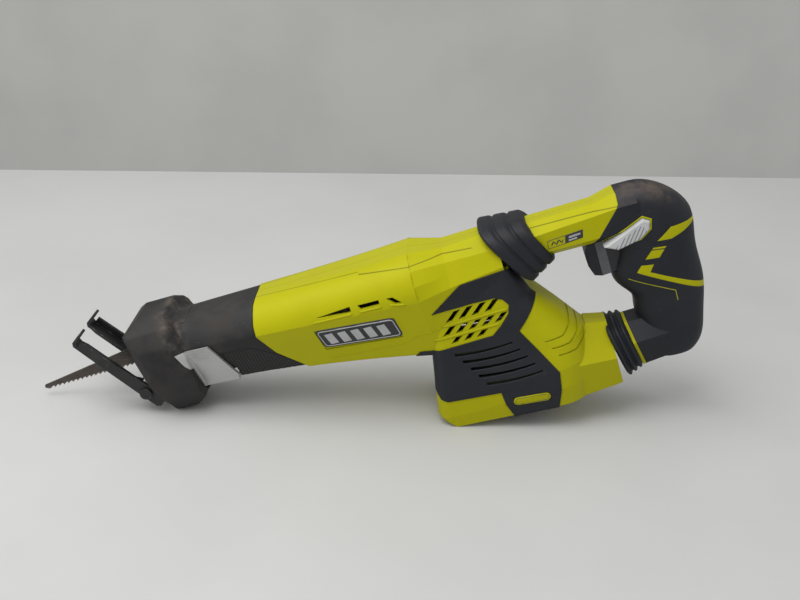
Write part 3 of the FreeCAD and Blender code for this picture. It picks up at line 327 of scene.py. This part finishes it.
def plate_plastic():
    """Satin black plate with a painted highlight along its rims."""
    p = Paint("plate_plastic")
    colour = p.mix(p.noise(60, 5).step(0.4, 0.7), (0.014, 0.015, 0.019), (0.024, 0.025, 0.030))
    # painted highlight along the rims
    colour = p.mix(p.edges(0.6) * 0.5, colour, (0.12, 0.12, 0.12))
    return p.finish(colour, 0.34 + 0.15 * p.noise(90, 3), height=p.noise(2200, 2), strength=0.12,
                    distance=0.1, round_edges=0.4)


def silver_paint():
    """Worn silver paint on the release lever, with scratches, dirt and chipped edges."""
    silver, bright, bare_edge = (0.44, 0.44, 0.43), (0.68, 0.68, 0.67), (0.16, 0.15, 0.14)
    p = Paint("silver_paint")
    scratch = p.noise(70, 7, 0.75, (1.0, 1.0, 12.0)).step(0.60, 0.70)
    dirt = p.noise(34, 6, 0.6).step(0.45, 0.72)
    chips = p.edges(0.7) * p.noise(120, 4).step(0.35, 0.6)
    colour = p.mix(dirt * 0.5, silver, scaled(silver, 0.62))
    colour = p.mix(scratch * 0.55, colour, bright)
    colour = p.mix(chips * 0.8, colour, bare_edge)
    return p.finish(colour, (0.36 + 0.25 * dirt).clamp(), metal=0.35, height=scratch + p.noise(900, 2),
                    strength=0.18, distance=0.12, round_edges=0.6)


def bare_steel(name, tint, metal=1.0, rough=0.30, spots=0.25):
    """Turned or cast metal: brushed lines, brown stains as strong as spots, and a painted highlight along the
    edges.
    """
    stained = (0.16, 0.10, 0.06)
    p = Paint(name)
    brushed = p.noise(240, 5, 0.6, (1.0, 6.0, 6.0))
    stain = p.noise(48, 6, 0.65).step(0.42, 0.72)
    colour = p.mix(brushed.step(0.3, 0.7) * 0.5, tint, scaled(tint, 0.72))
    colour = p.mix(stain * spots, colour, stained)
    # painted highlight along the edges
    colour = p.mix(p.edges(0.5) * 0.5, colour, scaled(tint, 1.25))
    return p.finish(colour, (rough + 0.18 * brushed + 0.15 * stain).clamp(), metal=metal, height=brushed,
                    strength=0.15, distance=0.1, round_edges=0.35)


def black_steel():
    """Black-coated pressed steel of the shoe, chipped to grey at its edges, with brown dust."""
    coat, pale_coat = (0.010, 0.010, 0.011), (0.022, 0.022, 0.022)
    dusty, chipped = (0.10, 0.075, 0.055), (0.30, 0.29, 0.27)
    p = Paint("black_steel")
    chips = p.edges(0.8) * p.noise(170, 5, 0.7).step(0.50, 0.62)
    broad = p.noise(40, 6, 0.6)
    colour = p.mix(broad.step(0.35, 0.7), coat, pale_coat)
    colour = p.mix(p.noise(70, 6, 0.7).step(0.58, 0.75) * 0.45, colour, dusty)
    colour = p.mix(chips * 0.8, colour, chipped)
    return p.finish(colour, (0.38 + 0.22 * broad).clamp(), metal=0.25, coat=0.1, height=p.noise(700, 4),
                    strength=0.2, distance=0.15, round_edges=0.5)


def dark_blade():
    """Used saw blade: streaked dark steel, brown resin, bright tooth tips, and a painted highlight along its
    edges.
    """
    steel, pale_steel, resin_brown = (0.060, 0.052, 0.046), (0.115, 0.104, 0.094), (0.070, 0.042, 0.024)
    tooth_steel, blade_edge_highlight = (0.21, 0.19, 0.17), (0.32, 0.30, 0.28)
    p = Paint("dark_blade")
    streak = p.noise(120, 7, 0.7, (1.0, 1.0, 7.0))
    resin = p.noise(60, 6, 0.65).step(0.42, 0.70)
    teeth = p.z.step(TOOTH_ROOT, TOOTH_TIP)
    colour = p.mix(streak.step(0.35, 0.7), steel, pale_steel)
    colour = p.mix(resin * 0.55, colour, resin_brown)
    colour = p.mix(teeth * 0.5, colour, tooth_steel)
    # painted highlight along the blade's edges
    colour = p.mix(p.edges(0.3) * 0.4, colour, blade_edge_highlight)
    return p.finish(colour, (0.36 + 0.3 * streak).clamp(), metal=0.7, height=streak, strength=0.25,
                    distance=0.12, round_edges=0.15)


def moulded(name, light, dark, rough=0.5, ridges=None, black_behind=None):
    """Moulded plastic with a painted highlight along its edges. ridges is (angle, pitch, outline or None),
    with painted shade between them, and it is black behind x black_behind.
    """
    black, dusty = (0.010, 0.010, 0.012), (0.05, 0.04, 0.03)
    p = Paint(name)
    broad = p.noise(45, 5)
    colour = p.mix(broad.step(0.35, 0.7), light, dark)
    if black_behind:
        colour = p.mix(p.x.step(black_behind - 0.2, black_behind + 0.2), colour, black)
    # painted highlight along the edges
    colour = p.mix(p.edges(0.6) * 0.4, colour, scaled(light, 1.5, 0.01))
    colour = p.mix(p.noise(140, 5, 0.7).step(0.62, 0.74) * 0.3, colour, dusty)
    height, strength = p.noise(1600, 3), 0.15
    if ridges:
        angle, pitch, outline = ridges
        wave = ((p.x * math.cos(angle) + p.z * math.sin(angle)) * (1 / pitch)).saw() - 0.5
        crest = p.line(wave, 0.44, 0.28)
        zone = p.inside(outline, 0.2) if outline else 1.0
        # painted shade in the troughs between the ridges
        colour = p.mix((1.0 - crest) * zone * 0.8, colour, scaled(dark, 0.22))
        height, strength = 0.15 * height + crest * zone, 0.4
    return p.finish(colour, (rough + 0.15 * broad).clamp(), height=height, strength=strength, distance=0.35,
                    round_edges=0.7)


MATERIALS = {
    "shell_plastic": lime_shell(),
    "overmould_rubber": soft_overmould(),
    "boot_rubber": boot_rubber(),
    "plate_plastic": plate_plastic(),
    "lever_metal": silver_paint(),
    "steel": bare_steel("machined_steel", (0.56, 0.56, 0.56)),
    "shoe_steel": black_steel(),
    "blade_steel": dark_blade(),
    "cast_aluminium": bare_steel("cast_aluminium", (0.62, 0.62, 0.63), 0.9, 0.46, 0.08),
    "bronze": bare_steel("sintered_bronze", (0.60, 0.40, 0.18), 0.9, 0.40, 0.15),
    "magnet": moulded("ferrite", (0.040, 0.040, 0.043), (0.024, 0.024, 0.026), 0.6),
    "inner_plastic": moulded("inner_plastic", (0.022, 0.022, 0.024), (0.012, 0.012, 0.013), 0.45),
    "trigger_plastic": moulded("trigger_plastic", (0.120, 0.122, 0.128), (0.085, 0.087, 0.092), 0.42,
                               (math.radians(90), 1.5, None), TRIGGER_FACE_X),
    "lock_plastic": moulded("lock_plastic", (0.50, 0.50, 0.50), (0.40, 0.40, 0.40), 0.38,
                            (math.radians(-35), 2.6, LOCK_PAD)),
    "mark_plastic": moulded("mark_plastic", (0.42, 0.42, 0.42), (0.34, 0.34, 0.34), 0.4),
}

for sub in frame["record"]["subparts"]:
    surface = frame["nodes"][sub["node"]].data.materials
    surface.clear()
    surface.append(MATERIALS[sub["material_slot"]])

phosphated_steel = bare_steel("phosphated_steel", (0.055, 0.055, 0.058), 0.6, 0.5, 0.2)
for name in ("motor_can", "motor_shaft", "armature_core", "crank_wheel", "gearcase_screws", "housing_screws",
             "handle_screws"):
    frame["nodes"][name].data.materials[0] = phosphated_steel


# ---------------------------------------------------------------- soft rounding of moulded pieces
def soften(node, voxel, passes):
    """Rounds a moulded rubber piece: an even skin of faces about voxel mm wide, then smoothed."""
    piece = frame["nodes"][node]
    skin = piece.modifiers.new("even_skin", "REMESH")
    skin.mode = "VOXEL"
    skin.voxel_size = voxel / 1000
    skin.use_smooth_shade = True
    ease = piece.modifiers.new("ease", "SMOOTH")
    ease.factor = 0.5
    ease.iterations = passes


def round_over(node, width):
    """Rounds the sharp edges of a moulded piece over width mm."""
    edge = frame["nodes"][node].modifiers.new("round_over", "BEVEL")
    edge.width = width / 1000
    edge.segments = 3
    edge.limit_method = "ANGLE"
    edge.angle_limit = math.radians(24)
    edge.use_clamp_overlap = True


soften("front_boot", 0.95, 3)
soften("bellows_upper", 0.7, 5)
soften("bellows_lower", 0.6, 3)
round_over("trigger", 1.4)
round_over("trigger_face", 1.4)

# ---------------------------------------------------------------- tools for trim laid on the CAD pieces
CLEAR_OF_FLANK = 120                # mm across, well outside the saw
# across and up as shares of a bead's width and height; a point with 0 up is sunk instead
BEAD_SECTION = ((-0.5, 0), (-0.5, 0.35), (-0.28, 0.9), (0.28, 0.9), (0.5, 0.35), (0.5, 0))
BEAD_SUNK = 0.35                    # mm that a bead's feet reach into the surface
BEAD_END = 0.45                     # size of an open bead's ends


def surface_of(*nodes):
    """Search tree over the faces of these CAD nodes, in the row frame."""
    corners, faces = [], []
    for name in nodes:
        mesh = frame["nodes"][name].data
        start = len(corners)
        corners += [v.co.copy() for v in mesh.vertices]
        faces += [[start + i for i in p.vertices] for p in mesh.polygons]
    return BVHTree.FromPolygons(corners, faces)


def touch(tree, x, z, side):
    """Point and outward direction where a line in from the side at (x, z) meets the surface, or None."""
    spot, normal, _, _ = tree.ray_cast(row(x, side * CLEAR_OF_FLANK, z), Vector((0, -side, 0)))
    if spot is None:
        return None
    return spot, -normal if normal.y * side < 0 else normal


def make_piece(name, points, faces, body, slot, smooth=True):
    """A new piece of row-frame points that rides on body and has the finish of slot."""
    mesh = bpy.data.meshes.new(name)
    mesh.from_pydata([tuple(p) for p in points], [], faces)
    mesh.update()
    for polygon in mesh.polygons:
        polygon.use_smooth = smooth
    piece = bpy.data.objects.new(name, mesh)
    bpy.context.scene.collection.objects.link(piece)
    mesh.materials.append(MATERIALS[slot])
    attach(piece, body)
    return piece


def along(path, gap):
    """Points every gap mm along a path of (x, z) points."""
    spots = []
    for (x0, z0), (x1, z1) in zip(path, path[1:]):
        count = max(1, round(math.hypot(x1 - x0, z1 - z0) / gap))
        spots += [(x0 + (x1 - x0) * n / count, z0 + (z1 - z0) * n / count) for n in range(count)]
    return spots + [path[-1]]


def bead(tree, path, side, wide, high, closed=False, gap=1.2):
    """Points and faces of a rounded bead, wide by high mm, laid along a path on the surface."""
    spots = along(path + path[:1], gap)[:-1] if closed else along(path, gap)
    rings = []
    for n, (x, z) in enumerate(spots):
        before = spots[n - 1] if n or closed else spots[n]
        after = spots[(n + 1) % len(spots)] if n + 1 < len(spots) or closed else spots[n]
        hit = touch(tree, x, z, side)
        if hit is None:
            continue
        spot, normal = hit
        ahead = (row(after[0], 0, after[1]) - row(before[0], 0, before[1])).normalized()
        across = ahead.cross(normal).normalized()
        size = BEAD_END if not closed and n in (0, len(spots) - 1) else 1.0
        ring = []
        for share, up in BEAD_SECTION:
            rise = up * high * size if up else -BEAD_SUNK
            ring.append(spot + across * (share * wide * size / 1000) + normal * (rise / 1000))
        rings.append(ring)
    points = [p for ring in rings for p in ring]
    faces, sides = [], len(BEAD_SECTION)
    for n in range(len(rings) if closed else len(rings) - 1):
        a, b = sides * n, sides * ((n + 1) % len(rings))
        faces += [(a + k, a + (k + 1) % sides, b + (k + 1) % sides, b + k) for k in range(sides)]
    if not closed:
        faces += [tuple(reversed(range(sides))), tuple(sides * (len(rings) - 1) + k for k in range(sides))]
    return points, faces


def beads(name, nodes, paths, wide, high, body, slot, sides=(-1, 1), closed=False):
    """One piece made of several beads laid on these sides."""
    tree = surface_of(*nodes)
    points, faces = [], []
    for side in sides:
        for path in paths:
            more, quads = bead(tree, path, side, wide, high, closed)
            faces += [tuple(len(points) + i for i in (q if side < 0 else q[::-1])) for q in quads]
            points += more
    return make_piece(name, points, faces, body, slot)


def diced(outline, gap):
    """The flat outline cut into a grid: points, which of them are on the rim, faces, rim edges, facing."""
    sheet = bmesh.new()
    sheet.faces.new([sheet.verts.new((x, 0, z)) for x, z in outline])
    for axis, places in ((0, [p[0] for p in outline]), (2, [p[1] for p in outline])):
        low, top = min(places), max(places)
        count = max(2, math.ceil((top - low) / gap))
        for n in range(1, count):
            cut, across = [0, 0, 0], [0, 0, 0]
            cut[axis], across[axis] = low + (top - low) * n / count, 1
            every = sheet.verts[:] + sheet.edges[:] + sheet.faces[:]
            bmesh.ops.bisect_plane(sheet, geom=every, plane_co=cut, plane_no=across)
    bmesh.ops.recalc_face_normals(sheet, faces=sheet.faces)
    sheet.verts.index_update()
    sheet.faces.ensure_lookup_table()
    flat = [(v.co.x, v.co.z) for v in sheet.verts]
    rim = [v.is_boundary for v in sheet.verts]
    faces = [[v.index for v in f.verts] for f in sheet.faces]
    loops = [e.link_loops[0] for e in sheet.edges if e.is_boundary]
    rim_edges = [(loop.vert.index, loop.link_loop_next.vert.index) for loop in loops]
    facing = sheet.faces[0].normal.y
    sheet.free()
    return flat, rim, faces, rim_edges, facing


def patch(name, nodes, outlines, high, body, slot, sides=(-1, 1), gap=2.0, sunk=0.4, crown=0.0):
    """Thin plates with these outlines, high mm proud of the surface, less crown mm at their rims."""
    tree = surface_of(*nodes)
    points, faces = [], []
    for outline in outlines:
        flat, rim, tops, rim_edges, facing = diced(outline, gap)
        for side in sides:
            start, count = len(points), len(flat)
            hits = [touch(tree, x, z, side) for x, z in flat]
            somewhere = next(h for h in hits if h)
            hits = [h or somewhere for h in hits]
            heights = [high - crown * on_rim for on_rim in rim]
            points += [spot + normal * (up / 1000) for (spot, normal), up in zip(hits, heights)]
            points += [spot - normal * (sunk / 1000) for spot, normal in hits]
            plates = [[start + i for i in f] for f in tops]
            plates += [[start + count + i for i in reversed(f)] for f in tops]
            plates += [[start + b, start + a, start + count + a, start + count + b] for a, b in rim_edges]
            flip = (facing > 0) != (side > 0)
            faces += [tuple(reversed(f)) if flip else tuple(f) for f in plates]
    return make_piece(name, points, faces, body, slot, smooth=False)


def slanted_bar(x, z, length, lean, wide):
    """Corners of an upright bar whose top is lean mm further back than its foot."""
    return [(x, z), (x + wide, z), (x + wide + lean, z + length), (x + lean, z + length)]


def round_corners(corners, radius, count=4):
    """The outline with each corner rounded, starting radius mm before it."""
    spots = []
    for n, corner in enumerate(corners):
        here = Vector(corner)
        before, after = Vector(corners[n - 1]), Vector(corners[(n + 1) % len(corners)])
        start, end = here + (before - here).normalized() * radius, here + (after - here).normalized() * radius
        for k in range(count + 1):
            t = k / count
            spots.append(tuple(start * (1 - t) ** 2 + here * (2 * t * (1 - t)) + end * t ** 2))
    return spots


def capsule(x0, z0, x1, z1, radius, count=8):
    """Oblong outline with round ends about two centres."""
    heading = math.atan2(z1 - z0, x1 - x0)
    spots = []
    for x, z, first in ((x1, z1, heading - math.pi / 2), (x0, z0, heading + math.pi / 2)):
        turns = [first + math.pi * n / count for n in range(count + 1)]
        spots += [(x + radius * math.cos(turn), z + radius * math.sin(turn)) for turn in turns]
    return spots


# ---------------------------------------------------------------- plates on the flanks
# a plain bordered plate with a row of slanted bars, and an oblong badge low on the battery dock
PLATED = HOUSINGS + ("name_plates",)
plate = round_corners([(150.4, -9.2), (213.0, -15.2), (215.2, -34.6), (152.6, -28.0)], 3.6)
border = round_corners([(152.1, -11.0), (211.5, -16.7), (213.4, -32.9), (154.2, -26.6)], 2.6)
bars = [slanted_bar(158.6 + 10.4 * n, -25.4 - 1.02 * n, 10.6, -2.2, 6.4) for n in range(5)]
plates = patch("name_plates_visible", PLATED, [plate], 0.25, "main_body", "plate_plastic", sunk=1.2,
               crown=0.15)
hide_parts("name_plates")
beads("plate_border", PLATED, [border], 0.9, 0.55, "main_body", "mark_plastic", closed=True)
patch("plate_bars", PLATED, bars, 0.55, "main_body", "mark_plastic")

BADGED = FLANK_RUBBERS + ("battery_badges",)
badge = capsule(285.0, -113.4, 307.0, -115.7, 3.6)
ring = capsule(285.4, -113.5, 306.6, -115.6, 2.5)
badges = patch("battery_badges_visible", BADGED, [badge], 0.45, "main_body", "shell_plastic", crown=0.25)
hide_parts("battery_badges")
beads("badge_ring", BADGED, [ring], 0.5, 0.5, "main_body", "plate_plastic", closed=True)

# ---------------------------------------------------------------- lines moulded into the shells and rubbers
# raised lips under the three outlet slots, and the embossed line that runs back into the inlet ribs
outlet_lips = [[(152, -1.6), (170, -2.3), (184.5, -2.6)], [(190, -2.8), (208, -3.2)],
               [(214, -3.6), (220, -5.2), (226, -6.6)]]
flank_line = [(152, -40.0), (210, -42.0), (218, -41.2), (226, -37.4), (234, -38.2), (246, -37.4)]
inlet_ribs = [[(246, -37.3), (272, -37.2), (298, -36.9)], [(236, -47.0), (262, -47.0), (289, -47.2)]]
beads("outlet_lips", HOUSINGS, outlet_lips, 1.5, 0.8, "main_body", "shell_plastic")
beads("flank_line", HOUSINGS, [flank_line], 0.9, 0.35, "main_body", "shell_plastic")
beads("inlet_ribs", HOUSINGS, inlet_ribs, 1.7, 0.9, "main_body", "shell_plastic")

# generic mark of a damped handle on the handle bar: a wave in a border, and two bars on a block
mark = [(341.0, 3.2), (354.5, 4.1), (353.4, -2.4), (340.0, -3.2)]
wave = [(343.0, -1.4), (345.0, 1.6), (347.0, -1.2), (349.0, 2.0), (351.0, -0.8), (352.4, 1.4)]
block = [(354.9, 4.2), (368.4, 5.1), (367.0, -1.5), (353.8, -2.4)]
block_bars = [[(357, 2.6), (366, 3.2), (365.8, 1.6), (356.8, 1.0)],
              [(356.4, 0.0), (363, 0.4), (362.8, -0.9), (356.2, -1.3)]]
beads("handle_mark_border", HANDLES, [mark], 0.45, 0.18, "handle", "plate_plastic", closed=True)
beads("handle_mark_wave", HANDLES, [wave], 0.9, 0.2, "handle", "plate_plastic")
patch("handle_mark_block", HANDLES, [block], 0.22, "handle", "plate_plastic")
patch("handle_mark_bars", HANDLES, block_bars, 0.34, "handle", "mark_plastic")


def boot_roof():
    """Thin curved plate on the roof of the boot just behind its collar, where the moulding is thinnest."""
    front, column_gap, columns = 38.6, 1.4, 9
    left, row_gap, rows = -17.5, 2.5, 15
    proud, thick, above = 0.22, 1.4, 80
    skin = surface_of("front_boot")
    down = Vector((math.sin(TILT), 0, -math.cos(TILT)))
    grid = [(i, j) for i in range(columns) for j in range(rows)]
    starts = [row(front + column_gap * i, left + row_gap * j, above) for i, j in grid]
    tops = [skin.ray_cast(start, down)[0] - down * (proud / 1000) for start in starts]
    points = tops + [top + down * (thick / 1000) for top in tops]
    under = len(tops)
    lids = [(i * rows + j, (i + 1) * rows + j, (i + 1) * rows + j + 1, i * rows + j + 1)
            for i in range(columns - 1) for j in range(rows - 1)]
    floors = [tuple(under + v for v in reversed(lid)) for lid in lids]
    rim = [i * rows for i in range(columns)]
    rim += [(columns - 1) * rows + j for j in range(1, rows)]
    rim += [i * rows + rows - 1 for i in range(columns - 2, -1, -1)]
    rim += list(range(rows - 2, 0, -1))
    walls = [(b, a, a + under, b + under) for a, b in zip(rim, rim[1:] + rim[:1])]
    return make_piece("boot_roof", points, lids + floors + walls, "main_body", "boot_rubber")


boot_roof()

# thin moulded lines on the grip
grip_lines = [[(403, -10), (414, -18), (421, -22)], [(410, -4), (424, -10), (438, -14)]]
beads("grip_lines", GRIPS, grip_lines, 0.6, 0.25, "handle", "overmould_rubber")

# the shoe release lever's front tab, which lies on the boot's collar, and its folded front edge
tab = [(36.4, 2.2), (44.6, 1.7), (44.6, -15.0), (42.6, -13.5), (39.8, -9.2)]
lip = [(43.9, 1.4), (43.9, -20), (43.9, -39)]
patch("lever_tab", ("front_boot", "shoe_release_lever"), [tab], 1.1, "release_lever", "lever_metal",
      sides=(-1,), crown=0.3)
beads("lever_lip", ("shoe_release_lever",), [lip], 3.6, 0.45, "release_lever", "lever_metal", sides=(-1,))

# shallow ridges on the grip between the stripes
grip_ridges = [[(402 + 2 * n, -23.0 - 0.4 * n), (420, -24.0 - 1.6 * n), (441, -18.5 - 1.8 * n)]
               for n in (0, 3)]
beads("grip_ridges", GRIPS, grip_ridges, 0.8, 0.3, "handle", "overmould_rubber")

# ---------------------------------------------------------------- the trigger's spring, as a copy with a mesh of its own that rides on the handle
coil = frame["nodes"]["trigger_spring"]
live_spring = bpy.data.objects.new("trigger_spring_live", coil.data.copy())
live_spring.matrix_world = coil.matrix_world
bpy.context.scene.collection.objects.link(live_spring)
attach(live_spring, "handle")
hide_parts("trigger_spring")
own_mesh(live_spring)

# ---------------------------------------------------------------- floor, backdrop, light and camera (metres)
FLOOR_HALF, FLOOR_REAR = 3, 0.62
BACKDROP_HALF, BACKDROP_Y, BACKDROP_LOW, BACKDROP_TOP = 4, 1.7, -1.4, 2.6
ROOM_TINT, ROOM_LIGHT = (0.95, 0.97, 1.0, 1), 0.68
CAMERA_SPOT, CAMERA_HEADING = (0.0547, -0.7246, 0.4323), (-0.0316, 0.9058, -0.4226)


def flat_stage(name, corners, material):
    """One flat sheet of the stage."""
    mesh = bpy.data.meshes.new(name)
    mesh.from_pydata(corners, [], [(0, 1, 2, 3)])
    made = bpy.data.objects.new(name, mesh)
    bpy.context.scene.collection.objects.link(made)
    mesh.materials.append(material)


def pale_surface(name, light, dark, rough):
    """Pale painted board with faint clouds and a few specks."""
    p = Paint(name)
    specks = p.cells(60).step(0.05, 0.02) * p.noise(6, 2).step(0.55, 0.7)
    colour = p.mix(p.noise(3, 4).step(0.35, 0.7), light, dark)
    colour = p.mix(specks * 0.35, colour, scaled(light, 0.6))
    return p.finish(colour, rough, height=p.noise(90, 4), strength=0.05, distance=0.3, round_edges=None)


def area_light(name, spot, aim, size, power):
    """Soft rectangular light of size metres at spot, pointed at aim."""
    lamp = bpy.data.lights.new(name, "AREA")
    lamp.shape = "RECTANGLE"
    lamp.size, lamp.size_y = size
    lamp.energy = power
    made = bpy.data.objects.new(name, lamp)
    made.location = spot
    made.rotation_euler = (Vector(aim) - Vector(spot)).to_track_quat("-Z", "Y").to_euler()
    bpy.context.scene.collection.objects.link(made)


pale_floor = pale_surface("pale_floor", (0.545, 0.540, 0.525), (0.505, 0.500, 0.488), 0.5)
flat_stage("floor", [(-FLOOR_HALF, -FLOOR_HALF, 0), (FLOOR_HALF, -FLOOR_HALF, 0),
                     (FLOOR_HALF, FLOOR_REAR, 0), (-FLOOR_HALF, FLOOR_REAR, 0)], pale_floor)
# the backdrop stands back and reaches below the floor's rear edge, so that it leaves the rear views clear
pale_backdrop = pale_surface("pale_backdrop", (0.467, 0.458, 0.430), (0.429, 0.421, 0.396), 0.7)
backdrop_corners = [(-BACKDROP_HALF, BACKDROP_Y, BACKDROP_LOW), (BACKDROP_HALF, BACKDROP_Y, BACKDROP_LOW),
                    (BACKDROP_HALF, BACKDROP_Y, BACKDROP_TOP), (-BACKDROP_HALF, BACKDROP_Y, BACKDROP_TOP)]
flat_stage("backdrop", backdrop_corners, pale_backdrop)

area_light("soft_top", (-0.45, -0.35, 1.5), (0, 0, 0.05), (1.4, 1.0), 18.5)
area_light("soft_left", (-1.5, -0.9, 0.8), (0, 0, 0.08), (0.9, 0.9), 4.5)
world = bpy.data.worlds.new("even_room")
world.use_nodes = True
world.node_tree.nodes["Background"].inputs["Color"].default_value = ROOM_TINT
world.node_tree.nodes["Background"].inputs["Strength"].default_value = ROOM_LIGHT
bpy.context.scene.world = world
bpy.context.scene.view_settings.view_transform = "Standard"

eye = bpy.data.cameras.new("camera")
eye.lens, eye.sensor_width, eye.clip_start = 45, 36, 0.01
camera = bpy.data.objects.new("camera", eye)
camera.location = CAMERA_SPOT
camera.rotation_euler = Vector(CAMERA_HEADING).to_track_quat("-Z", "Y").to_euler()
bpy.context.scene.collection.objects.link(camera)
bpy.context.scene.camera = camera
